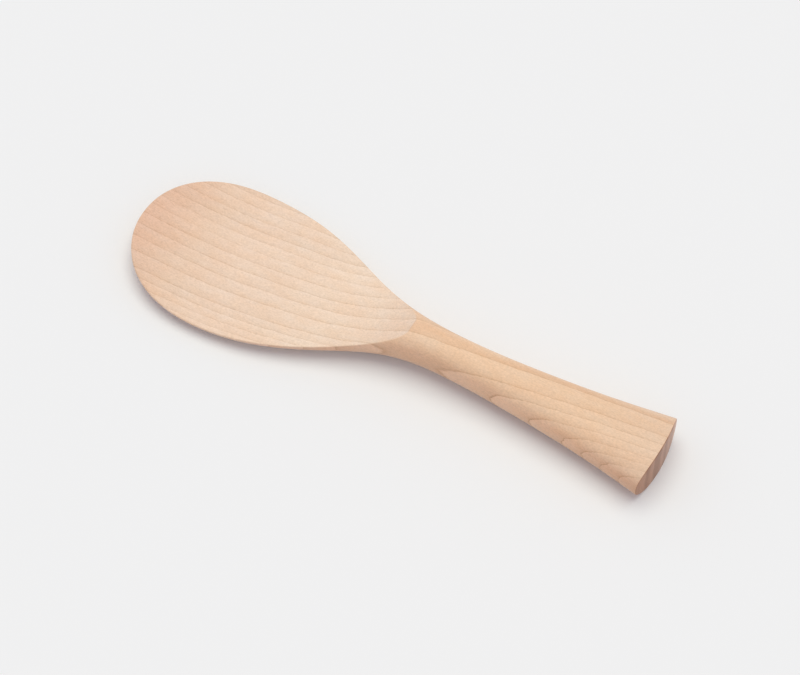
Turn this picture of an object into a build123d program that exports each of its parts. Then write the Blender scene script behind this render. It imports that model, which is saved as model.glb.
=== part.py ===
"""Rice paddle carved from one piece of wood.

Millimetres. X runs along the paddle, from the tip of the blade (-X) to the butt of the
handle (+X). Y runs across it and Z is up, with the dished face of the blade on top. The
origin is under the middle of the paddle's length, on the surface that it rests on.
"""
import os

from build123d import *

# Lengths along the paddle
overall_length = 216.4
handle_length = 101.1       # from the butt to the crest, where the dished face begins
waist_to_crest = 18.0       # the handle is narrowest this far behind the crest
widest_to_tip = 40.7        # the blade is widest this far behind its tip

# Widths across it
blade_width = 63.6
waist_width = 15.3
butt_width = 33.0

# Thicknesses
butt_thickness = 17.9
waist_thickness = 15.7
blade_thickness = 4.6       # at the widest place, from the dished face to the underside

# Heights above the surface that the paddle rests on
waist_lift = 2.5            # underside of the waist
crest_height = 18.2         # top of the dished face, at the crest
dish_height = 5.2           # lowest line of the dished face, at the widest place
tip_height = 10.0           # dished face at the tip

# Small shapes
tip_flat_width = 4.0        # the very end of the tip is straight, seen from above
rim_drop = 0.5              # from the dished face down to the widest line of the rim
butt_bulge = 1.9            # seen from above, the butt is cut to a shallow arc
butt_edge_radius = 0.5
rest_flat_depth = 0.3       # sanded off below, where the paddle rests
cutter_overrun = 12.0

# Half-width from the waist to the butt's corner and from the waist to the widest place: how
# far along, and how much of the growth is reached there. The last one of the handle lies
# past the butt, which is cut off.
handle_width_shares = [(0.18, 0.063), (0.44, 0.262), (0.72, 0.567), (1.0, 1.0), (1.06, 1.1)]
shoulder_width_shares = [(0.105, 0.01), (0.29, 0.14), (0.435, 0.367), (0.575, 0.617), (0.76, 0.873)]

# Half-width from the tip to the widest place: how far along its points stand. Its growth
# there is worked out with the two powers, as in an oval.
tip_place_shares = [0.01, 0.04, 0.1, 0.19, 0.31, 0.46, 0.63, 0.81]
tip_length_power = 2.42
tip_width_power = 2.04

# Dished face from the crest to the widest place: how much of its fall is left there. Then
# from the widest place to the tip: how much of its rise is reached there.
face_fall_shares = [(0.07, 0.79), (0.19, 0.5), (0.39, 0.23), (0.65, 0.09)]
face_rise_shares = [(0.5, 0.3)]

# Widest line of the neck, from the waist to the widest place: how much of its fall is left
# there. After that it follows the dished face, just below it, through the rim's places.
neck_fall_shares = [(0.13, 1.05), (0.25, 0.98), (0.45, 0.6)]
rim_place_shares = [0.62, 0.75, 0.88]

# Underside from the waist to the widest place: how much of the waist's lift is left there
belly_lift_shares = [(0.15, 1.05), (0.34, 0.655), (0.5, 0.19), (0.665, 0.0)]

# A cross-section is an ellipse made a little squarer: its quarters' handles reach this
# share of the way to the corner
section_corner_share = 0.64

# Numbers of cross-sections along the handle and the shoulder, and how far round the tip
# those of the tip stand
handle_sections = 5
shoulder_sections = 10
tip_section_shares = [0.0, 0.08, 0.2, 0.34, 0.48, 0.63, 0.81]

# Places along X, worked out from the lengths
butt_place = overall_length / 2
tip_place = -overall_length / 2
corner_place = butt_place - butt_bulge
crest_place = butt_place - handle_length
waist_place = crest_place + waist_to_crest
widest_place = tip_place + widest_to_tip


def between(start, end, share):
    """The value that lies a share of the way from start to end."""
    return start + (end - start) * share


def points_between(start, end, shares):
    """Points from start to end, given as shares of the way along and of the way up."""
    return [(between(start[0], end[0], along), between(start[1], end[1], up)) for along, up in shares]


def points_left(start, end, shares):
    """Points from start to end, given as shares of the way along and of the height left."""
    return [(between(start[0], end[0], along), between(end[1], start[1], left)) for along, left in shares]


def tip_growth(along):
    """Share of the blade's half-width that is reached a share of the way from the tip."""
    return (1 - (1 - along) ** tip_length_power) ** (1 / tip_width_power)


def height_at(curve, place):
    """Height of a curve that runs steadily towards +X, at one place."""
    low, high = 0.0, 1.0
    for _ in range(40):
        middle = (low + high) / 2
        if (curve @ middle).X < place:
            low = middle
        else:
            high = middle
    return (curve @ low).Y


def draw_cross_section(half_width, half_height, centre_height):
    """Draws one cross-section of the stock, as four like quarters."""
    corner_width = section_corner_share * half_width
    corner_height = section_corner_share * half_height
    for side in (1, -1):
        for upward in (1, -1):
            Bezier(
                (side * half_width, centre_height),
                (side * half_width, centre_height + upward * corner_height),
                (side * corner_width, centre_height + upward * half_height),
                (0, centre_height + upward * half_height),
            )


# Half-width of the stock along its length
tip_end = (tip_place, 0)
tip_side = (tip_place, tip_flat_width / 2)
blade_side = (widest_place, blade_width / 2)
waist_side = (waist_place, waist_width / 2)
corner_side = (corner_place, butt_width / 2)
with BuildLine():
    half_width_line = Spline(
        blade_side,
        *reversed(points_between(waist_side, blade_side, shoulder_width_shares)),
        waist_side,
        *points_between(waist_side, corner_side, handle_width_shares),
    )
    tip_side_line = Spline(
        tip_side,
        *points_between(tip_end, blade_side, [(along, tip_growth(along)) for along in tip_place_shares]),
        blade_side,
        tangents=[(0, 1), (1, 0)],
    )

# Dished face, from the tip to the crest
face_tip = (tip_place, tip_height)
face_low = (widest_place, dish_height)
face_crest = (crest_place, crest_height)
face_points = [
    face_tip,
    *reversed(points_between(face_low, face_tip, face_rise_shares)),
    face_low,
    *reversed(points_left(face_crest, face_low, face_fall_shares)),
    face_crest,
]
with BuildLine():
    face_line = Spline(*face_points)

# Height of the widest line of the stock
butt_centre = (corner_place, butt_thickness / 2 - rest_flat_depth)
waist_centre = (waist_place, waist_lift + waist_thickness / 2)
blade_centre = (widest_place, dish_height - rim_drop)
rim_places = [between(waist_place, widest_place, along) for along in rim_place_shares]
with BuildLine():
    centre_line = Spline(
        blade_centre,
        *[(place, height_at(face_line, place) - rim_drop) for place in reversed(rim_places)],
        *reversed(points_left(waist_centre, blade_centre, neck_fall_shares)),
        waist_centre,
        butt_centre,
        *points_between(waist_centre, butt_centre, handle_width_shares[-1:]),
    )

# Underside of the stock
butt_bottom = (corner_place, -rest_flat_depth)
waist_bottom = (waist_place, waist_lift)
belly_bottom = (widest_place, -rest_flat_depth)
blade_bottom = (widest_place, dish_height - blade_thickness)
with BuildLine():
    underside_line = Spline(
        blade_bottom,
        *reversed(points_left(waist_bottom, belly_bottom, belly_lift_shares)),
        waist_bottom,
        butt_bottom,
        *points_between(waist_bottom, butt_bottom, handle_width_shares[-1:]),
    )

# Cross-sections of the stock from the tip to past the butt, each as its place, half-width,
# half-height and the height of its widest line
stock_end = between(waist_place, corner_place, handle_width_shares[-1][0])
blade_half_height = blade_centre[1] - blade_bottom[1]
sections = []
for round_tip in tip_section_shares:
    side = tip_side_line @ round_tip
    half_height = blade_half_height * side.Y / blade_side[1]
    sections.append((side.X, side.Y, half_height, height_at(face_line, side.X) - rim_drop))
places = [between(widest_place, waist_place, step / shoulder_sections) for step in range(shoulder_sections)]
places += [between(waist_place, stock_end, step / handle_sections) for step in range(handle_sections + 1)]
for place in places:
    centre = height_at(centre_line, place)
    half_height = centre - height_at(underside_line, place)
    sections.append((place, height_at(half_width_line, place), half_height, centre))

with BuildPart() as paddle:
    # The stock
    for place, half_width, half_height, centre in sections:
        with BuildSketch(Plane.YZ.offset(place)):
            with BuildLine():
                draw_cross_section(half_width, half_height, centre)
            make_face()
    loft()

    # The butt, cut to a shallow arc
    butt_radius = (corner_side[1] ** 2 + butt_bulge ** 2) / (2 * butt_bulge)
    cut_side = corner_side[1] + cutter_overrun
    cut_corner_place = butt_place - butt_radius + (butt_radius ** 2 - cut_side ** 2) ** 0.5
    cut_end_place = stock_end + cutter_overrun
    with BuildSketch(Plane.XY.offset(-cutter_overrun)):
        with BuildLine():
            ThreePointArc((cut_corner_place, -cut_side), (butt_place, 0), (cut_corner_place, cut_side))
            Polyline(
                (cut_corner_place, cut_side),
                (cut_end_place, cut_side),
                (cut_end_place, -cut_side),
                (cut_corner_place, -cut_side),
            )
        make_face()
    extrude(amount=butt_thickness + 2 * cutter_overrun, mode=Mode.SUBTRACT)

    # The dished face, cut straight across from the crest to the tip
    cut_top = crest_height + cutter_overrun
    cut_tip_place = tip_place - cutter_overrun
    with BuildSketch(Plane.XZ.offset(blade_width)):
        with BuildLine():
            Spline(*face_points)
            Polyline(
                face_crest,
                (crest_place, cut_top),
                (cut_tip_place, cut_top),
                (cut_tip_place, tip_height),
                face_tip,
            )
        make_face()
    extrude(amount=-2 * blade_width, mode=Mode.SUBTRACT)

    # The flats that it rests on, and the eased edge of the butt
    split(bisect_by=Plane.XY, keep=Keep.TOP)
    fillet(faces().sort_by(Axis.X)[-1].edges(), radius=butt_edge_radius)

paddle.part.label = "paddle"

os.makedirs("parts", exist_ok=True)
export_step(paddle.part, "parts/paddle.step")
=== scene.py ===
import math

import bmesh
import bpy
import numpy as np
from mathutils import Matrix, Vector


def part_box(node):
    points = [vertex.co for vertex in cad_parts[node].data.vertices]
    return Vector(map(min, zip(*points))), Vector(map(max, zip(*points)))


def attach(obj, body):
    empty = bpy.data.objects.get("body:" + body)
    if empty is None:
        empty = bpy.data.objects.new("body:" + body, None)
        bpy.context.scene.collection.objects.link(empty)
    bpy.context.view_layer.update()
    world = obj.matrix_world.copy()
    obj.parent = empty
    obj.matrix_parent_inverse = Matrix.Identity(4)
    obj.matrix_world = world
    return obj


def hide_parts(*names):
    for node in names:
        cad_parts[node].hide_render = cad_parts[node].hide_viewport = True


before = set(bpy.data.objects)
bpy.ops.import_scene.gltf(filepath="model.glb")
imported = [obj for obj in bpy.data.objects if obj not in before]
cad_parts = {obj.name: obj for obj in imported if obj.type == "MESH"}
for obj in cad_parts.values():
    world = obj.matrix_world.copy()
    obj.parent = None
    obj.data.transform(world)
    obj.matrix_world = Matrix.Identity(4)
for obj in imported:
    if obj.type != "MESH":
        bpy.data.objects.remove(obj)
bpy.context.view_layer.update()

# Units: the frame is in metres. The material works in millimetres.
mm = 0.001

# Sizes of the paddle. X runs from the tip of the blade to the butt of the handle.
low_corner, high_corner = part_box("paddle")
blade_width = high_corner.y - low_corner.y
handle_length = 101.1 * mm
waist_to_crest = 18.0 * mm
widest_to_tip = 40.7 * mm
waist_width = 15.3 * mm
butt_width = 33.0 * mm
butt_thickness = 17.9 * mm
waist_thickness = 15.7 * mm
blade_thickness = 4.6 * mm
waist_lift = 2.5 * mm
crest_height = 18.2 * mm
dish_height = 5.2 * mm
tip_height = 10.0 * mm
rim_drop = 0.5 * mm
butt_bulge = 1.9 * mm
rest_flat_depth = 0.3 * mm

# Softened edges, and the low step behind the crest
rim_ease = 0.42 * mm
tip_ease = 0.9 * mm
tip_ease_depth = 30.0 * mm
butt_ease = 0.45 * mm
step_length = 0.7 * mm
step_rise = 1.2 * mm
step_rounding = 0.12 * mm
step_rise_power = 0.8

# Half-width, dished face, widest line and underside between the places that they join: shares
# of the way along, each with the share of the rise that is reached there or of the fall that is
# left. Round the tip the rise is worked out with two powers, as in an oval.
handle_width_shares = [(0.18, 0.063), (0.44, 0.262), (0.72, 0.567), (1.0, 1.0), (1.06, 1.1)]
shoulder_width_shares = [(0.105, 0.01), (0.29, 0.14), (0.435, 0.367), (0.575, 0.617), (0.76, 0.873)]
tip_place_shares = [0.01, 0.04, 0.1, 0.19, 0.31, 0.46, 0.63, 0.81]
tip_length_power = 2.42
tip_width_power = 2.04
face_fall_shares = [(0.07, 0.79), (0.19, 0.5), (0.39, 0.23), (0.65, 0.09)]
face_rise_shares = [(0.5, 0.3)]
neck_fall_shares = [(0.13, 1.05), (0.25, 0.98), (0.45, 0.6)]
rim_place_shares = [0.62, 0.75, 0.88]
belly_lift_shares = [(0.15, 1.05), (0.34, 0.655), (0.5, 0.19), (0.665, 0.0)]
section_corner_share = 0.64

# The mesh: where its sections stand, and how many points lie on half a section. At the tip the
# sections fan out, from middles that start tip_fan_depth behind it.
tip_stations = 56
tip_fan_depth = 16.0 * mm
tip_fan_slope = 0.6
station_spacing = 1.1 * mm
step_zone_length = 2 * step_length
step_zone_stations = 8
butt_ease_rings = 4
butt_ring_shares = [0.9, 0.75, 0.58, 0.4, 0.22, 0.06]
face_columns = 26
ease_columns = 5
side_columns = 34
column_blend_length = 25.0 * mm
weld_distance = 0.002 * mm

# How finely the curves are worked out. least_width stands in for a half-width of 0.
curve_samples = 6000
quarter_samples = 4001
halving_steps = 50
bend_rounds = 6
least_width = 1e-9

# Places along X
butt_place = high_corner.x
tip_place = low_corner.x
corner_place = butt_place - butt_bulge
crest_place = butt_place - handle_length
waist_place = crest_place + waist_to_crest
widest_place = tip_place + widest_to_tip
butt_radius = ((butt_width / 2) ** 2 + butt_bulge ** 2) / (2 * butt_bulge)


def between(start, end, share):
    """The value that lies a share of the way from start to end."""
    return start + (end - start) * share


def smooth_share(value, start, end):
    """0 before start, 1 after end, and a smooth rise in between."""
    share = np.clip((value - start) / (end - start), 0.0, 1.0)
    return share * share * (3.0 - 2.0 * share)


def points_between(start, end, shares):
    """Points from start to end, given as shares of the way along and of the way up."""
    return [(between(start[0], end[0], along), between(start[1], end[1], up)) for along, up in shares]


def points_left(start, end, shares):
    """Points from start to end, given as shares of the way along and of the height left."""
    return [(between(start[0], end[0], along), between(end[1], start[1], left)) for along, left in shares]


def tip_growth(along):
    """Share of the blade's half-width that is reached a share of the way from the tip."""
    return (1 - (1 - along) ** tip_length_power) ** (1 / tip_width_power)


def end_slope(points, knots):
    """Slope at the first point of the parabola through the first three."""
    first, second = knots[1] - knots[0], knots[2] - knots[0]
    near, far = (points[1] - points[0]) / first, (points[2] - points[0]) / second
    return (near * second - far * first) / (second - first)


def smooth_curve(points, start=None, end=None):
    """A cubic spline through points, as an array of places along it."""
    points = np.array(points, float)
    knots = np.concatenate([[0.0], np.cumsum(np.linalg.norm(np.diff(points, axis=0), axis=1))])
    steps = np.diff(knots)
    first = end_slope(points, knots)
    last = end_slope(points[::-1], knots[::-1])
    if start is not None:
        first = np.array(start, float) * np.linalg.norm(first)
    if end is not None:
        last = np.array(end, float) * np.linalg.norm(last)
    count = len(points)
    system = np.eye(count)
    wanted = np.zeros_like(points)
    wanted[0], wanted[-1] = first, last
    for i in range(1, count - 1):
        before, after = steps[i - 1], steps[i]
        system[i, i - 1], system[i, i], system[i, i + 1] = 1 / before, 2 / before + 2 / after, 1 / after
        change_before, change_after = points[i] - points[i - 1], points[i + 1] - points[i]
        wanted[i] = 3 * change_before / before ** 2 + 3 * change_after / after ** 2
    slopes = np.linalg.solve(system, wanted)
    at = np.linspace(knots[0], knots[-1], curve_samples)
    span = np.clip(np.searchsorted(knots, at, side="right") - 1, 0, count - 2)
    step = steps[span]
    share = ((at - knots[span]) / step)[:, None]
    step = step[:, None]
    return (
        (1 + 2 * share) * (1 - share) ** 2 * points[span]
        + share * (1 - share) ** 2 * step * slopes[span]
        + share ** 2 * (3 - 2 * share) * points[span + 1]
        + share ** 2 * (share - 1) * step * slopes[span + 1]
    )


def height_at(curve, place):
    """Height of a curve that runs steadily towards +X, at one or more places."""
    return np.interp(place, curve[:, 0], curve[:, 1])


# The curves that the paddle follows
tip_point = (tip_place, 0.0)
blade_side = (widest_place, blade_width / 2)
waist_side = (waist_place, waist_width / 2)
corner_side = (corner_place, butt_width / 2)
half_width_line = smooth_curve([
    blade_side,
    *reversed(points_between(waist_side, blade_side, shoulder_width_shares)),
    waist_side,
    *points_between(waist_side, corner_side, handle_width_shares),
])
tip_side_line = smooth_curve(
    [
        tip_point,
        *points_between(tip_point, blade_side, [(along, tip_growth(along)) for along in tip_place_shares]),
        blade_side,
    ],
    start=(0.0, 1.0),
    end=(1.0, 0.0),
)
face_tip = (tip_place, tip_height)
face_low = (widest_place, dish_height)
face_crest = (crest_place, crest_height)
face_line = smooth_curve([
    face_tip,
    *reversed(points_between(face_low, face_tip, face_rise_shares)),
    face_low,
    *reversed(points_left(face_crest, face_low, face_fall_shares)),
    face_crest,
])
butt_centre = (corner_place, butt_thickness / 2 - rest_flat_depth)
waist_centre = (waist_place, waist_lift + waist_thickness / 2)
blade_centre = (widest_place, dish_height - rim_drop)
rim_places = [between(waist_place, widest_place, along) for along in rim_place_shares]
centre_line = smooth_curve([
    blade_centre,
    *[(place, height_at(face_line, place) - rim_drop) for place in reversed(rim_places)],
    *reversed(points_left(waist_centre, blade_centre, neck_fall_shares)),
    waist_centre,
    butt_centre,
    *points_between(waist_centre, butt_centre, handle_width_shares[-1:]),
])
butt_bottom = (corner_place, -rest_flat_depth)
waist_bottom = (waist_place, waist_lift)
belly_bottom = (widest_place, -rest_flat_depth)
blade_bottom = (widest_place, dish_height - blade_thickness)
underside_line = smooth_curve([
    blade_bottom,
    *reversed(points_left(waist_bottom, belly_bottom, belly_lift_shares)),
    waist_bottom,
    butt_bottom,
    *points_between(waist_bottom, butt_bottom, handle_width_shares[-1:]),
])
blade_half_height = blade_centre[1] - blade_bottom[1]

# Shape of a quarter of a section, an ellipse made a little squarer, whose handles reach
# section_corner_share of the way to the corner: how far out and how far up it is, from 0 to 1
turn = np.linspace(0.0, 1.0, quarter_samples)
remaining = 1 - turn
quarter_out = remaining ** 3 + 3 * remaining ** 2 * turn + 3 * remaining * turn ** 2 * section_corner_share
quarter_up = 3 * remaining ** 2 * turn * section_corner_share + 3 * remaining * turn ** 2 + turn ** 3


def half_width_at(place):
    """Half-width of the paddle, seen from above."""
    at_tip = np.interp(place, tip_side_line[:, 0], tip_side_line[:, 1])
    return np.where(place < widest_place, at_tip, height_at(half_width_line, place))


def centre_height_at(place):
    """Height of the widest line."""
    along_rim = height_at(face_line, place) - rim_drop
    return np.where(place < widest_place, along_rim, height_at(centre_line, place))


def half_height_at(place):
    """Height of the stock above and below its widest line."""
    at_tip = blade_half_height * half_width_at(place) / blade_side[1]
    behind_tip = centre_height_at(place) - height_at(underside_line, place)
    return np.where(place < widest_place, at_tip, behind_tip)


def butt_cut_at(across):
    """How far the cut of the butt falls back from its furthest point, at a distance from the middle."""
    return butt_radius - np.sqrt(butt_radius ** 2 - across ** 2)


def stock_point(station, angle):
    """A point on the surface of the uncut stock. The angle is 90 degrees on top and -90 below."""
    middle, outline, half_width, bend = station
    out = np.cos(angle)
    across = out * half_width
    place = middle + out * (outline - middle)
    for _ in range(bend_rounds if bend > 0 else 1):
        width = np.maximum(half_width_at(place), least_width)
        if bend > 0:
            across = out * width
            place = middle - bend * butt_cut_at(across)
    share = np.clip(across / width, 0.0, 1.0)
    up = np.interp(-share, -quarter_out, quarter_up)
    height = centre_height_at(place) + np.sign(angle) * half_height_at(place) * up
    return np.array([place, across, height])


def face_height_at(place):
    """Height of the dished face, and of the low step behind the crest."""
    behind = np.maximum(place - crest_place, 0.0)
    return height_at(face_line, place) + step_rise * (behind / step_length) ** step_rise_power


def find(low, high, is_past):
    """The value between low and high where is_past turns true."""
    for _ in range(halving_steps):
        middle = (low + high) / 2
        if is_past(middle):
            high = middle
        else:
            low = middle
    return low


def blade_section(station):
    """Half a section of the blade, from the middle of the dished face to the middle of the underside."""
    middle, outline, half_width, _ = station

    def is_above_face(angle):
        place, _, height = stock_point(station, angle)
        return height > face_height_at(place)

    corner_angle = find(0.0, math.pi / 2, is_above_face)
    ease = between(tip_ease, rim_ease, float(smooth_share(outline, tip_place, tip_place + tip_ease_depth)))
    corner = stock_point(station, corner_angle)
    reach = math.hypot(outline - middle, half_width)
    corner_reach = reach * math.cos(corner_angle)
    start_share = max(1.0 - ease / corner_reach, 0.0) * math.cos(corner_angle)

    def face_point(share):
        place = middle + share * (outline - middle)
        return np.array([place, share * half_width, float(face_height_at(place))])

    end_angle = corner_angle - find(
        0.0, math.pi / 2,
        lambda drop: np.linalg.norm(stock_point(station, corner_angle - drop) - corner) > ease,
    )
    start, end = face_point(start_share), stock_point(station, end_angle)
    points = [face_point(start_share * step / face_columns) for step in range(face_columns + 1)]
    for step in range(1, ease_columns + 1):
        share = step / ease_columns
        points.append((1 - share) ** 2 * start + 2 * share * (1 - share) * corner + share ** 2 * end)
    for step in range(1, side_columns + 1):
        share = step / side_columns
        points.append(stock_point(station, between(end_angle, -math.pi / 2, share)))
    return np.array(points)


def handle_section(station, crest_angles):
    """Half a section of the handle. Its columns carry on from the last section of the blade."""
    even_angles = np.linspace(math.pi / 2, -math.pi / 2, len(crest_angles))
    share = smooth_share(station[0], crest_place, crest_place + column_blend_length)
    angles = between(crest_angles, even_angles, share)
    points = np.array([stock_point(station, angle) for angle in angles])
    if station[0] < crest_place + step_zone_length:
        room = face_height_at(station[0]) - points[:, 2]
        rounded = (room - np.sqrt(room ** 2 + step_rounding ** 2)) / 2
        points[:, 2] += np.where(angles > 0, rounded, 0.0)
    return points


def angle_of(section, station):
    """Angles of a section's points, as a handle section of the same width has them."""
    width = float(half_width_at(station[0]))
    centre = float(centre_height_at(station[0]))
    angles = []
    for _, across, height in section:
        out = min(across / width, 1.0)
        angles.append(math.copysign(math.acos(out), height - centre))
    return np.array(angles)


def stations_of_paddle():
    """Where the sections stand. Each station is the place of the section's middle and of its end
    on the outline, that end's half-width, and how far it bends with the cut of the butt."""
    blade, handle = [], []
    fan_start = tip_place + tip_fan_depth
    fan_length = widest_place - fan_start
    run = np.linalg.norm(np.diff(tip_side_line, axis=0), axis=1).sum() / fan_length
    for step in range(tip_stations):
        share = step / tip_stations
        fan = (
            (3 * share ** 2 - 2 * share ** 3)
            + tip_fan_slope * (share ** 3 - 2 * share ** 2 + share)
            + run * (share ** 3 - share ** 2)
        )
        outline, half_width = tip_side_line[round(share * (len(tip_side_line) - 1))]
        blade.append((fan_start + fan_length * fan, outline, half_width, 0.0))
    shoulder_steps = round((crest_place - widest_place) / station_spacing)
    for step in range(shoulder_steps + 1):
        place = between(widest_place, crest_place, step / shoulder_steps)
        blade.append((place, place, float(half_width_at(place)), 0.0))
    for step in range(1, step_zone_stations + 1):
        place = crest_place + step_zone_length * step / step_zone_stations
        handle.append((place, place, float(half_width_at(place)), 0.0))
    first = handle[-1][0]
    last = butt_place - butt_ease
    steps = round((last - first) / station_spacing)
    for step in range(1, steps + 1):
        place = between(first, last, step / steps)
        bend = float(smooth_share(place, butt_place - handle_length / 2, last))
        handle.append((place, place, float(half_width_at(place)), bend))
    return blade, handle


def butt_rings(last_ring):
    """Rings over the eased edge of the butt and in to the middle of its flat."""
    centre = last_ring.mean(axis=0)
    rings = []
    outward = last_ring - centre
    outward[:, 0] = 0.0
    length = np.linalg.norm(outward, axis=1)[:, None]
    for step in range(1, butt_ease_rings + 1):
        turned = step / butt_ease_rings * math.pi / 2
        ring = last_ring - outward / length * butt_ease * (1 - math.cos(turned))
        ring[:, 0] += butt_ease * math.sin(turned)
        rings.append(ring)
    edge = rings[-1]
    middle = np.array([0.0, 0.0, centre[2]])
    for share in butt_ring_shares:
        ring = middle + (edge - middle) * share
        ring[:, 0] = butt_place - butt_cut_at(ring[:, 1])
        rings.append(ring)
    return rings


def whole_ring(half):
    """A closed ring, of points or of values, from the half with +Y."""
    other = half[1:-1][::-1]
    if half.ndim == 2:
        other = other * np.array([1.0, -1.0, 1.0])
    return np.concatenate([half, other])


def build_paddle():
    """The whole paddle as one closed mesh."""
    blade, handle = stations_of_paddle()
    sections = [blade_section(station) for station in blade]
    crest_angles = angle_of(sections[-1], blade[-1])
    sections += [handle_section(station, crest_angles) for station in handle]
    rings = [whole_ring(section) for section in sections]
    rings += butt_rings(rings[-1])
    count = len(rings[0])
    points = np.concatenate(rings)
    points[:, 2] = np.maximum(points[:, 2], 0.0)
    columns = np.arange(face_columns + ease_columns + side_columns + 1)
    blade_share = whole_ring(np.clip(1.0 - (columns - face_columns) / ease_columns, 0.0, 1.0))
    other_points = (len(rings) - len(blade)) * count
    face_shares = np.concatenate([np.tile(blade_share, len(blade)), np.zeros(other_points)])
    faces = []
    for ring in range(len(rings) - 1):
        for column in range(count):
            following = (column + 1) % count
            start, end = ring * count, (ring + 1) * count
            faces.append((start + column, start + following, end + following, end + column))
    faces.append(tuple((len(rings) - 1) * count + column for column in range(count)))
    mesh = bpy.data.meshes.new("paddle_wood")
    mesh.from_pydata([tuple(point) for point in points], [], faces)
    mesh.attributes.new("dished_face", "FLOAT", "POINT").data.foreach_set("value", face_shares)
    shape = bmesh.new()
    shape.from_mesh(mesh)
    bmesh.ops.remove_doubles(shape, verts=shape.verts, dist=weld_distance)
    bmesh.ops.recalc_face_normals(shape, faces=shape.faces)
    for face in shape.faces:
        face.smooth = True
    shape.to_mesh(mesh)
    shape.free()
    paddle = bpy.data.objects.new("paddle_wood", mesh)
    bpy.context.scene.collection.objects.link(paddle)
    return paddle


paddle = build_paddle()

# The wood. Its nodes work in millimetres of the paddle's own space. The growth rings are
# upright sheets that run along the paddle and drift towards +Y with X. The first number of
# ring_lines is measured across from one clear line, which lies at line_across for each place
# along X, and the second is how dark the line is. ring_spread is how far apart the lines lie.
line_across = [
    (-108, -16.6), (-96, -15.6), (-54, -12.4), (-30, -9.6), (-18, -7.5), (-6, -5.1),
    (12, -2.0), (24, -0.5), (48, 3.0), (72, 6.2), (96, 9.0), (108, 10.4),
]
ring_spread = [
    (-108, 1.03), (-78, 1.0), (-54, 1.0), (-30, 0.965), (-18, 0.975), (-6, 1.0),
    (25, 1.12), (62, 1.13), (85, 1.07), (108, 1.04),
]
ring_lines = [
    (-32.5, 0.8), (-29.0, 0.8), (-26.0, 0.8), (-23.2, 0.8), (-20.9, 0.9), (-18.7, 0.9), (-16.2, 1.0),
    (-13.1, 1.15), (-9.8, 1.25), (-6.4, 1.15), (0.0, 1.3), (5.5, 1.0), (10.6, 1.25), (15.6, 0.9),
    (20.5, 0.65), (25.2, 0.8), (29.2, 1.1), (33.7, 0.8), (38.5, 1.0), (43.0, 0.8), (47.5, 0.8), (52.0, 0.8),
]

# Tones across one ring, from just past its dark line to the next one, and the thin core of
# that line, which on the sides grows clearer towards the butt
ring_tones = [
    (0.0, (0.975, 0.968, 0.955)), (0.05, (1.0, 1.0, 1.0)), (0.3, (0.985, 0.98, 0.975)),
    (0.62, (0.965, 0.957, 0.943)), (0.84, (0.94, 0.925, 0.905)), (0.93, (0.915, 0.89, 0.855)),
    (0.975, (0.87, 0.83, 0.78)), (1.0, (0.93, 0.91, 0.885)),
]
side_ring_share = 0.6
ring_brightness = (0.985, 1.012)
core_tone = (0.74, 0.65, 0.56)
core_start_shares = (0.955, 0.972)
core_end_shares = (1.0, 0.99)
core_strength = 0.22
side_core_run = (25.0, 60.0)
side_core_strengths = (0.1, 0.5)
core_side_share = 0.8

# Tones along X of the blade's face, of the handle's top and of the sides. The blade's face holds the wood's
# own tone and also painted shade and light:
# darker towards the tip, where the face turns away from the light, and paler towards the crest, where it
# turns towards it
blade_tones_and_shade = [
    (-108, (0.785, 0.518, 0.38)), (-95, (0.8, 0.562, 0.415)), (-85, (0.825, 0.612, 0.463)),
    (-65, (0.86, 0.665, 0.523)), (-45, (0.868, 0.68, 0.535)), (-25, (0.89, 0.71, 0.562)),
    (-10, (0.892, 0.71, 0.562)), (0, (0.87, 0.69, 0.55)), (7, (0.855, 0.675, 0.535)),
]
handle_tones = [
    (-20, (0.83, 0.61, 0.43)), (7, (0.85, 0.605, 0.42)), (25, (0.857, 0.604, 0.407)),
    (80, (0.845, 0.6, 0.41)), (108, (0.815, 0.595, 0.43)),
]
# Along the blade the sides are paler and less saturated: a painted highlight where the thin rim catches
# light
side_tones_and_rim_highlight = [
    (-108, (0.87, 0.65, 0.52)), (-50, (0.85, 0.64, 0.5)), (-22, (0.825, 0.545, 0.38)),
    (0, (0.855, 0.58, 0.4)), (25, (0.85, 0.565, 0.378)), (50, (0.87, 0.58, 0.388)),
    (80, (0.83, 0.54, 0.355)), (108, (0.745, 0.465, 0.305)),
]

# The far side carries a painted bluish sheen, the sides carry painted shade where they face down, and the
# underside's tone changes from the blade's to the handle's within under_blend_reach of the crest
far_side_painted_sheen = (1.0, 1.07, 1.2)
low_side_painted_shade = 0.86
under_blend_reach = 30.0

# Where one tone begins and ends to give way to another as the surface turns, as a part of its
# normal: up or down for the sides, up for the underside and for the painted shade on the low part
# of the sides, towards +Y for the painted sheen on the far side and towards +X for the butt
side_facing = (0.85, 0.3)
under_facing = (-0.2, 0.2)
low_side_shade_facing = (-0.6, 0.15)
far_sheen_facing = (0.3, 0.8)
butt_facing = (0.45, 0.8)

# A darker band beside the clear line, from just ahead of the crest along the handle, where it
# narrows
band_tone = (0.97, 0.93, 0.9)
band_start = (-4.0, 1.0)
band_near_side = (-0.1, 0.4)
band_widths = (6.5, 3.0)
band_narrow_place = 40.0
band_fade = -2.0

# Soft stripes of the end grain across the butt: a place, and how pale it is there
butt_stripes = [
    (-16.5, 0.2), (-11.8, 0.5), (-10.0, 0.1), (-6.8, 0.5), (-4.5, 0.0), (-1.5, 0.05),
    (1.0, 0.5), (3.0, 0.1), (6.5, 0.6), (9.0, 0.35), (12.5, 1.0), (16.5, 0.8),
]
# The end grain is darker than the side grain, and these tones also hold painted shade of the end that faces
# away from the light
butt_pale_grain_and_shade = (0.58, 0.31, 0.185)
butt_dark_grain_and_shade = (0.3, 0.113, 0.042)

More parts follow.
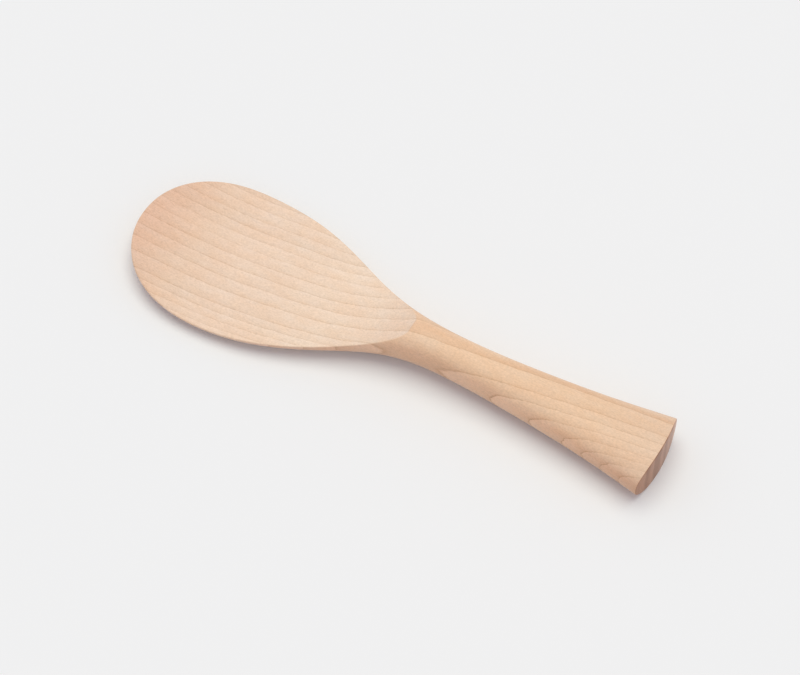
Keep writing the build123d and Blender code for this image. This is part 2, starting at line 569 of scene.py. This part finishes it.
# Noise layers: the sizes of their grains along X, Y and Z, their strength, and an offset that
# makes each of them different. Nearly all values of a plain noise lie within noise_range.
noise_range = (0.2, 0.8)
sheet_waves = [((40.0, 12.0, 12.0), 0.2, 1.0), ((12.0, 2.0, 2.0), 0.2, 7.0)]
sheet_ripples = ((2.5, 0.35, 0.35), 0.2, 3.0)
side_ripple_share = 0.3
line_changes = [((30.0, 4.0, 4.0), 0.3, 11.0), ((6.0, 1.5, 1.5), 0.3, 19.0)]
blotches = [((14.0, 6.0, 6.0), 0.5, 21.0), ((5.0, 2.5, 2.5), 0.5, 23.0)]
blotch_tones = [(1.0, 0.955, 0.92), (1.0, 0.965, 0.92)]
fibre_layers = [
    ((26.0, 0.5, 0.5), 0.02, 5.0), ((6.0, 0.25, 0.25), 0.03, 9.0),
    ((1.6, 1.0, 1.0), 0.04, 15.0), ((0.8, 0.5, 0.5), 0.11, 13.0),
]
stripe_waves = ((9.0, 3.0, 6.0), 0.5, 37.0)
stripe_changes = ((60.0, 0.5, 9.0), 0.18, 41.0)
butt_fibres = ((2.0, 0.3, 0.3), 0.07, 17.0)
pore_spots = ((1.6, 0.3, 0.3), 1.0, 29.0)
sanding = ((6.0, 0.6, 0.6), 0.05, 31.0)

# Pores are the spots above a level, and they are clearer towards the tip
pore_tone = (0.67, 0.58, 0.51)
pore_levels = (0.3, 0.75)
pore_run = (-60.0, -104.0)
pore_strengths = (0.12, 0.5)

# The sanded surface
roughness = 0.55
sheen_weight = 0.3
sheen_roughness = 0.3
bump_strength = 0.25
bump_height = 0.02 * mm
bump_gain = 6.0

wood = bpy.data.materials.new("wood")
wood.use_nodes = True
tree = wood.node_tree
shader = tree.nodes["Principled BSDF"]


def is_output(value):
    """Whether a value is a node's output, and not a number or a colour."""
    return isinstance(value, bpy.types.NodeSocket)


def set_input(socket, value):
    """Joins a node's input to another node's output, or gives it a fixed value."""
    if is_output(value):
        tree.links.new(value, socket)
    else:
        socket.default_value = value


def node(kind, inputs, output=0, **settings):
    """Adds a node, sets it up, fills its inputs by name or number, and returns one output."""
    made = tree.nodes.new(kind)
    for name, value in settings.items():
        setattr(made, name, value)
    for name, value in inputs.items():
        set_input(made.inputs[name], value)
    return made.outputs[output]


def compute(operation, *values):
    """The result of a sum, product or the like of one, two or three values."""
    return node("ShaderNodeMath", dict(enumerate(values)), operation=operation)


def ramp(value, start, end, low=0.0, high=1.0, smooth=True):
    """low at start, high at end and beyond it, and a rise or fall in between."""
    inputs = {"Value": value, "From Min": start, "From Max": end, "To Min": low, "To Max": high}
    return node("ShaderNodeMapRange", inputs, interpolation_type="SMOOTHSTEP" if smooth else "LINEAR")


def look_up(value, table, smooth=True):
    """The value found in a table of places and results."""
    places, results = zip(*table)
    low, high = min(results), max(results)
    made = tree.nodes.new("ShaderNodeFloatCurve")
    set_input(made.inputs["Value"], ramp(value, places[0], places[-1], smooth=False))
    points = made.mapping.curves[0].points
    for _ in table[2:]:
        points.new(0.5, 0.5)
    for point, place, result in zip(points, places, results):
        point.location = ((place - places[0]) / (places[-1] - places[0]), (result - low) / (high - low))
        point.handle_type = "AUTO" if smooth else "VECTOR"
    made.mapping.update()
    return ramp(made.outputs[0], 0.0, 1.0, low, high, smooth=False)


def tone_along(value, table):
    """The colour found in a table of places and colours."""
    first, last = table[0][0], table[-1][0]
    made = tree.nodes.new("ShaderNodeValToRGB")
    set_input(made.inputs["Fac"], ramp(value, first, last, smooth=False))
    stops = made.color_ramp.elements
    for place, tone in table[1:-1]:
        stops.new((place - first) / (last - first)).color = (*tone, 1.0)
    stops[0].color = (*table[0][1], 1.0)
    stops[len(stops) - 1].color = (*table[-1][1], 1.0)
    return made.outputs["Color"]


def mix(share, first, second, kind="MIX"):
    """Mixes or multiplies two colours, which are the node's inputs 6 and 7 and its output 2."""
    tones = [tone if is_output(tone) else (*tone, 1.0) for tone in (first, second)]
    inputs = {0: share, 6: tones[0], 7: tones[1]}
    return node("ShaderNodeMix", inputs, 2, data_type="RGBA", blend_type=kind)


def brighten(tone, factor):
    """A colour times a value."""
    return node("ShaderNodeVectorMath", {0: tone, "Scale": factor}, operation="SCALE")


def noise(grain, strength, offset, shift=0.0, detail=2.0):
    """Uneven values around shift. Their grains' sizes along X, Y and Z are in millimetres."""
    finer = [1 / size for size in grain]
    scaled = node("ShaderNodeVectorMath", {0: place_in_mm, 1: finer}, operation="MULTIPLY")
    moved = node("ShaderNodeVectorMath", {0: scaled, 1: (offset, offset, offset)}, operation="ADD")
    value = node("ShaderNodeTexNoise", {"Vector": moved, "Scale": 1.0, "Detail": detail})
    return ramp(value, *noise_range, shift - strength, shift + strength, smooth=False)


def total(first, *others):
    """The sum of several values."""
    for value in others:
        first = compute("ADD", first, value)
    return first


place_in_metres = node("ShaderNodeTexCoord", {}, "Object")
to_mm = (1 / mm, 1 / mm, 1 / mm)
place_in_mm = node("ShaderNodeVectorMath", {0: place_in_metres, 1: to_mm}, operation="MULTIPLY")
along = node("ShaderNodeSeparateXYZ", {0: place_in_mm}, "X")
across = node("ShaderNodeSeparateXYZ", {0: place_in_mm}, "Y")
facing = node("ShaderNodeTexCoord", {}, "Normal")
facing_end = node("ShaderNodeSeparateXYZ", {0: facing}, "X")
facing_across = node("ShaderNodeSeparateXYZ", {0: facing}, "Y")
facing_up = node("ShaderNodeSeparateXYZ", {0: facing}, "Z")
on_face = node("ShaderNodeAttribute", {}, "Fac", attribute_name="dished_face")
on_side = ramp(compute("ABSOLUTE", facing_up), *side_facing)

# Growth rings
ripples = compute("MULTIPLY", noise(*sheet_ripples), ramp(on_side, 0.0, 1.0, 1.0, side_ripple_share))
wandered = total(across, *[noise(*layer) for layer in sheet_waves], ripples)
ring_across = compute("SUBTRACT", wandered, look_up(along, line_across))
ring_across = compute("DIVIDE", ring_across, look_up(along, ring_spread))
last_ring = len(ring_lines) - 1.0
ring_numbers = [(line[0], float(number)) for number, line in enumerate(ring_lines)]
ring_count = compute("SUBTRACT", last_ring, look_up(ring_across, ring_numbers, smooth=False))
ring_share = compute("FRACT", ring_count)
ring_chance = node("ShaderNodeTexWhiteNoise", {"W": compute("FLOOR", ring_count)}, noise_dimensions="1D")
ring_strength = look_up(ring_across, ring_lines, smooth=False)
ring_strength = total(ring_strength, *[noise(*layer) for layer in line_changes])
ring_tone = mix(ring_strength, (1.0, 1.0, 1.0), tone_along(ring_share, ring_tones))
ring_core = compute("MULTIPLY", ramp(ring_share, *core_start_shares), ramp(ring_share, *core_end_shares))
side_core_strength = ramp(along, *side_core_run, *side_core_strengths)
core_visible = ramp(on_side, 0.0, core_side_share, core_strength, side_core_strength)
ring_core = compute("MULTIPLY", ring_core, core_visible)
ring_tone = mix(compute("MULTIPLY", ring_core, ring_strength), ring_tone, core_tone, "MULTIPLY")

# Broad tones: the dished face, the top of the handle, the sides and the underside
crest = crest_place / mm
# The face's own tone, with its painted shade towards the tip and painted light towards the crest
face_tone = tone_along(along, blade_tones_and_shade)
handle_tone = tone_along(along, handle_tones)
on_handle = ramp(along, crest - under_blend_reach, crest + under_blend_reach)
under_tone = mix(on_handle, face_tone, handle_tone)
tone = mix(ramp(facing_up, *under_facing), under_tone, handle_tone)
side_tone = tone_along(along, side_tones_and_rim_highlight)
# Painted shade on the sides where they face down
side_tone = brighten(side_tone, ramp(facing_up, *low_side_shade_facing, low_side_painted_shade, 1.0))
# Painted sheen: the far side made paler and bluer where it turns away at a grazing angle
painted_sheen_tone = mix(1.0, side_tone, far_side_painted_sheen, "MULTIPLY")
side_tone = mix(ramp(facing_across, *far_sheen_facing), side_tone, painted_sheen_tone)
tone = mix(on_side, tone, side_tone)
tone = mix(on_face, tone, face_tone)

# The darker band
behind_crest = ramp(along, crest + band_start[0], crest + band_start[1])
behind_crest = compute("MULTIPLY", behind_crest, compute("SUBTRACT", 1.0, on_face))
band_end = ramp(along, crest, band_narrow_place, *band_widths)
past_band = compute("SUBTRACT", ring_across, band_end)
in_band = compute("MULTIPLY", ramp(ring_across, *band_near_side), ramp(past_band, 0.0, band_fade))
tone = mix(compute("MULTIPLY", in_band, behind_crest), tone, band_tone, "MULTIPLY")

# The rings' tones, and a share of them once more on the sides, where they are deeper
tone = mix(1.0, tone, ring_tone, "MULTIPLY")
ringed_tone = mix(1.0, tone, ring_tone, "MULTIPLY")
tone = mix(compute("MULTIPLY", on_side, side_ring_share), tone, ringed_tone)
tone = brighten(tone, ramp(ring_chance, 0.0, 1.0, *ring_brightness, smooth=False))

# End grain on the butt, darkened further by painted shade
stripe = look_up(total(across, noise(*stripe_waves)), butt_stripes)
stripe = total(stripe, noise(*stripe_changes))
butt_grain_and_shade = brighten(mix(stripe, butt_dark_grain_and_shade, butt_pale_grain_and_shade), noise(*butt_fibres, shift=1.0))
tone = mix(ramp(facing_end, *butt_facing), tone, butt_grain_and_shade)

# Blotches, fibres and pores
for layer, blotch_tone in zip(blotches, blotch_tones):
    blotched_tone = mix(1.0, tone, blotch_tone, "MULTIPLY")
    tone = mix(noise(*layer, shift=0.5, detail=0.0), tone, blotched_tone)
fibres = total(*[noise(*layer) for layer in fibre_layers])
tone = brighten(tone, total(fibres, 1.0))
pores = compute("MULTIPLY", ramp(noise(*pore_spots), *pore_levels), ramp(along, *pore_run, *pore_strengths))
tone = mix(pores, tone, mix(1.0, tone, pore_tone, "MULTIPLY"))

# The surface
relief = compute("MULTIPLY", fibres, bump_gain)
bump = node("ShaderNodeBump", {"Strength": bump_strength, "Distance": bump_height, "Height": relief})
set_input(shader.inputs["Base Color"], tone)
set_input(shader.inputs["Roughness"], total(noise(*sanding), roughness))
set_input(shader.inputs["Normal"], bump)
set_input(shader.inputs["Sheen Weight"], sheen_weight)
set_input(shader.inputs["Sheen Roughness"], sheen_roughness)
paddle.data.materials.append(wood)
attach(paddle, "root")
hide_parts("paddle")

# The camera: where it stands, seen from the paddle, and how large its picture shows the paddle.
# The sensor's width is in millimetres.
camera_elevation = math.radians(57.496)
camera_azimuth = math.radians(29.498)
camera_distance = 990.0 * mm
camera_target = np.array([0.116, 3.576, 0.0]) * mm
camera_near = 0.05
camera_far = 50.0
pixels_per_mm = 2.7223
image_width = 800
sensor_width = 36.0

# The floor and the light
floor_size = 8.0
floor_tone = (0.88, 0.88, 0.88)
floor_roughness = 0.9
sky_tone = (0.98, 0.965, 1.11)
sky_strength = 0.52
lamp_tone = (1.0, 1.015, 0.868)
lamp_strength = 1.55
lamp_breadth = math.radians(54)
lamp_turn = math.radians(165)
lamp_elevation = math.radians(79)


def direction(azimuth, elevation):
    """Unit vector from the object towards a place that is seen at these angles."""
    return np.array([
        math.sin(azimuth) * math.cos(elevation),
        -math.cos(azimuth) * math.cos(elevation),
        math.sin(elevation),
    ])


def look_from(thing, where, target):
    """Places a camera or a lamp, and turns it towards the target with its top upwards."""
    back = np.array(where) - np.array(target)
    back = back / np.linalg.norm(back)
    side = np.cross([0.0, 0.0, 1.0], back)
    side = side / np.linalg.norm(side)
    top = np.cross(back, side)
    thing.matrix_world = Matrix([*np.stack([side, top, back, where], axis=1), (0.0, 0.0, 0.0, 1.0)])


def make_floor_paint():
    """A plain matt paint."""
    paint = bpy.data.materials.new("floor_paint")
    paint.use_nodes = True
    paint_shader = paint.node_tree.nodes["Principled BSDF"]
    paint_shader.inputs["Base Color"].default_value = (*floor_tone, 1.0)
    paint_shader.inputs["Roughness"].default_value = floor_roughness
    paint_shader.inputs["Specular IOR Level"].default_value = 0.0
    return paint


def build_floor():
    """A wide flat floor that the paddle lies on."""
    half = floor_size / 2
    corners = [(-half, -half, 0), (half, -half, 0), (half, half, 0), (-half, half, 0)]
    mesh = bpy.data.meshes.new("floor")
    mesh.from_pydata(corners, [], [(0, 1, 2, 3)])
    mesh.materials.append(make_floor_paint())
    floor = bpy.data.objects.new("floor", mesh)
    bpy.context.scene.collection.objects.link(floor)
    return floor


def build_light():
    """A soft even sky, and a broad lamp above and a little behind."""
    world = bpy.data.worlds.new("studio")
    bpy.context.scene.world = world
    world.use_nodes = True
    sky = world.node_tree.nodes["Background"]
    sky.inputs["Color"].default_value = (*sky_tone, 1.0)
    sky.inputs["Strength"].default_value = sky_strength
    lamp_data = bpy.data.lights.new("softbox", "SUN")
    lamp_data.energy = lamp_strength
    lamp_data.color = lamp_tone
    lamp_data.angle = lamp_breadth
    lamp = bpy.data.objects.new("softbox", lamp_data)
    bpy.context.scene.collection.objects.link(lamp)
    look_from(lamp, direction(camera_azimuth + lamp_turn, lamp_elevation), np.zeros(3))


def build_camera():
    """The camera of the photograph."""
    camera_data = bpy.data.cameras.new("camera")
    camera_data.sensor_width = sensor_width
    camera_data.lens = pixels_per_mm * camera_distance / mm / image_width * sensor_width
    camera_data.clip_start = camera_near
    camera_data.clip_end = camera_far
    camera = bpy.data.objects.new("camera", camera_data)
    bpy.context.scene.collection.objects.link(camera)
    away = camera_distance * direction(camera_azimuth, camera_elevation)
    look_from(camera, camera_target + away, camera_target)
    return camera


floor = build_floor()
build_light()
bpy.context.scene.camera = build_camera()
bpy.context.scene.view_settings.view_transform = "Standard"
